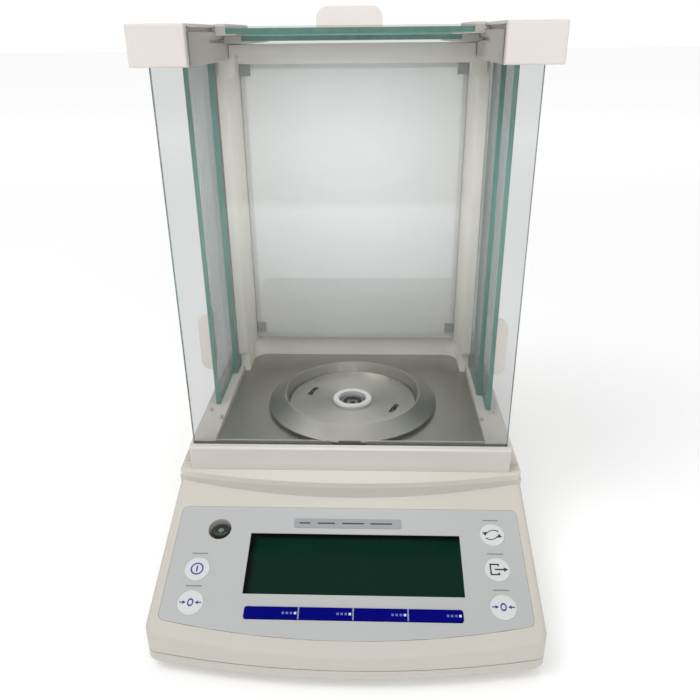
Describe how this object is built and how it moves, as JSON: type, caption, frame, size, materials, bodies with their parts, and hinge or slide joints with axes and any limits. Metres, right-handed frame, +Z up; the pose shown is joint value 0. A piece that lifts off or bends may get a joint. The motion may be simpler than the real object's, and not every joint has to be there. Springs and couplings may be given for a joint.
{
  "type": "analytical balance",
  "caption": "Laboratory analytical balance: sloped keypad console, stainless weighing chamber and a glass draught shield whose side and roof panes slide back.",
  "frame": {"origin": "on the table under the middle of the whole balance, console nose to back wall", "axes": "+X to the right seen from the keypad, +Y from the keypad to the back, +Z up"},
  "size_m": [0.2132, 0.442, 0.3278],
  "materials": {
    "case_white": "fine textured warm off-white moulding",
    "tray_white": "fine textured warm off-white moulding",
    "frame_white": "satin off-white moulding",
    "rear_grey": "satin warm grey moulding",
    "shield_glass": "clear float glass with green edges",
    "clip_grey": "translucent grey",
    "floor_steel": "brushed stainless sheet",
    "ring_steel": "spun and brushed stainless",
    "collar_white": "smooth white",
    "seat_metal": "machined",
    "pin_dark": "dark",
    "cell_aluminium": "machined",
    "cell_base_metal": "cast and painted",
    "sensor_metal": "ground",
    "board_green": "circuit board",
    "display_case": "display module",
    "sheet_grey": "light grey printed film",
    "window_dark": "very dark green, glossy",
    "key_grey": "light grey embossed film",
    "key_blue": "deep blue",
    "plate_grey": "grey printed film",
    "vial_glass": "level vial",
    "foot_rubber": "black rubber",
    "wheel_grey": "dark grey, knurled",
    "panel_dark": "dark grey",
    "socket_black": "black",
    "port_metal": "tinned steel",
    "screw_steel": "zinc plated",
    "door_white": "satin white"
  },
  "bodies": {
    "balance": {"lower_case": "tray_white", "upper_case": "case_white", "deck_cover": "case_white", "chamber_base": "frame_white", "floor_plate": "floor_steel", "draught_ring": "ring_steel", "shield_dish": "ring_steel", "dish_pins": "pin_dark", "pan_collar": "collar_white", "cell_base": "cell_base_metal", "weigh_cell": "cell_aluminium", "fork_sensor": "sensor_metal", "main_board": "board_green", "display_board": "board_green", "display_module": "display_case", "keypad_sheet": "sheet_grey", "display_window": "window_dark", "rating_plate": "plate_grey", "level_vial": "vial_glass", "front_pane": "shield_glass", "pane_clips": "clip_grey", "left_rail": "frame_white", "right_rail": "frame_white", "rear_frame": "rear_grey", "rear_pane": "shield_glass", "rear_sill": "rear_grey", "rear_feet": "foot_rubber", "back_panel": "panel_dark", "power_inlet": "socket_black", "serial_port": "port_metal", "case_screws": "screw_steel"},
    "left_outer_door": {"left_outer_door_pane": "shield_glass", "left_outer_door_hanger": "door_white", "left_outer_door_pull": "door_white"},
    "left_inner_door": {"left_inner_door_pane": "shield_glass", "left_inner_door_hanger": "door_white"},
    "right_outer_door": {"right_outer_door_pane": "shield_glass", "right_outer_door_hanger": "door_white", "right_outer_door_pull": "door_white"},
    "right_inner_door": {"right_inner_door_pane": "shield_glass", "right_inner_door_hanger": "door_white"},
    "top_upper_door": {"top_upper_door_pane": "shield_glass", "top_upper_door_runners": "door_white", "top_upper_door_pull": "door_white"},
    "top_lower_door": {"top_lower_door_pane": "shield_glass", "top_lower_door_runners": "door_white"},
    "key_power_cap": {"key_power": "key_grey"},
    "key_zero_left_cap": {"key_zero_left": "key_grey"},
    "key_menu_cap": {"key_menu": "key_grey"},
    "key_output_cap": {"key_output": "key_grey"},
    "key_zero_right_cap": {"key_zero_right": "key_grey"},
    "key_function_1_cap": {"key_function_1": "key_blue"},
    "key_function_2_cap": {"key_function_2": "key_blue"},
    "key_function_3_cap": {"key_function_3": "key_blue"},
    "key_function_4_cap": {"key_function_4": "key_blue"},
    "pan_support": {"pan_seat": "seat_metal"},
    "left_front_foot": {"left_foot_pad": "foot_rubber", "left_foot_screw": "wheel_grey"},
    "right_front_foot": {"right_foot_pad": "foot_rubber", "right_foot_screw": "wheel_grey"}
  },
  "joints": [
    {"name": "left_outer_door_slide", "type": "slide", "parent": "balance", "child": "left_outer_door", "axis": [0, 1, 0], "range_m": [-0.0471, 0.0523]},
    {"name": "left_inner_door_slide", "type": "slide", "parent": "balance", "child": "left_inner_door", "axis": [0, 1, 0], "range_m": [-0.032, 0.0051]},
    {"name": "right_outer_door_slide", "type": "slide", "parent": "balance", "child": "right_outer_door", "axis": [0, 1, 0], "range_m": [-0.0412, 0.0582]},
    {"name": "right_inner_door_slide", "type": "slide", "parent": "balance", "child": "right_inner_door", "axis": [0, 1, 0], "range_m": [0, 0.0371]},
    {"name": "top_upper_door_slide", "type": "slide", "parent": "balance", "child": "top_upper_door", "axis": [0, 1, 0], "range_m": [-0.0617, 0.0377]},
    {"name": "top_lower_door_slide", "type": "slide", "parent": "balance", "child": "top_lower_door", "axis": [0, 1, 0], "range_m": [-0.023, 0.0141]},
    {"name": "key_power_press", "type": "slide", "parent": "balance", "child": "key_power_cap", "axis": [0, 0.3269, -0.9451], "range_m": [0, 0.0004], "stiffness_N_per_m": 2000},
    {"name": "key_zero_left_press", "type": "slide", "parent": "balance", "child": "key_zero_left_cap", "axis": [0, 0.3269, -0.9451], "range_m": [0, 0.0004], "stiffness_N_per_m": 2000},
    {"name": "key_menu_press", "type": "slide", "parent": "balance", "child": "key_menu_cap", "axis": [0, 0.3269, -0.9451], "range_m": [0, 0.0004], "stiffness_N_per_m": 2000},
    {"name": "key_output_press", "type": "slide", "parent": "balance", "child": "key_output_cap", "axis": [0, 0.3269, -0.9451], "range_m": [0, 0.0004], "stiffness_N_per_m": 2000},
    {"name": "key_zero_right_press", "type": "slide", "parent": "balance", "child": "key_zero_right_cap", "axis": [0, 0.3269, -0.9451], "range_m": [0, 0.0004], "stiffness_N_per_m": 2000},
    {"name": "key_function_1_press", "type": "slide", "parent": "balance", "child": "key_function_1_cap", "axis": [0, 0.3269, -0.9451], "range_m": [0, 0.0004], "stiffness_N_per_m": 2000},
    {"name": "key_function_2_press", "type": "slide", "parent": "balance", "child": "key_function_2_cap", "axis": [0, 0.3269, -0.9451], "range_m": [0, 0.0004], "stiffness_N_per_m": 2000},
    {"name": "key_function_3_press", "type": "slide", "parent": "balance", "child": "key_function_3_cap", "axis": [0, 0.3269, -0.9451], "range_m": [0, 0.0004], "stiffness_N_per_m": 2000},
    {"name": "key_function_4_press", "type": "slide", "parent": "balance", "child": "key_function_4_cap", "axis": [0, 0.3269, -0.9451], "range_m": [0, 0.0004], "stiffness_N_per_m": 2000},
    {"name": "pan_support_deflection", "type": "slide", "parent": "balance", "child": "pan_support", "axis": [0, 0, 1], "range_m": [-0.0005, 0], "stiffness_N_per_m": 20000},
    {"name": "left_front_foot_height", "type": "slide", "parent": "balance", "child": "left_front_foot", "axis": [0, 0, 1], "range_m": [-0.003, 0.002]},
    {"name": "right_front_foot_height", "type": "slide", "parent": "balance", "child": "right_front_foot", "axis": [0, 0, 1], "range_m": [-0.003, 0.002]}
  ]
}
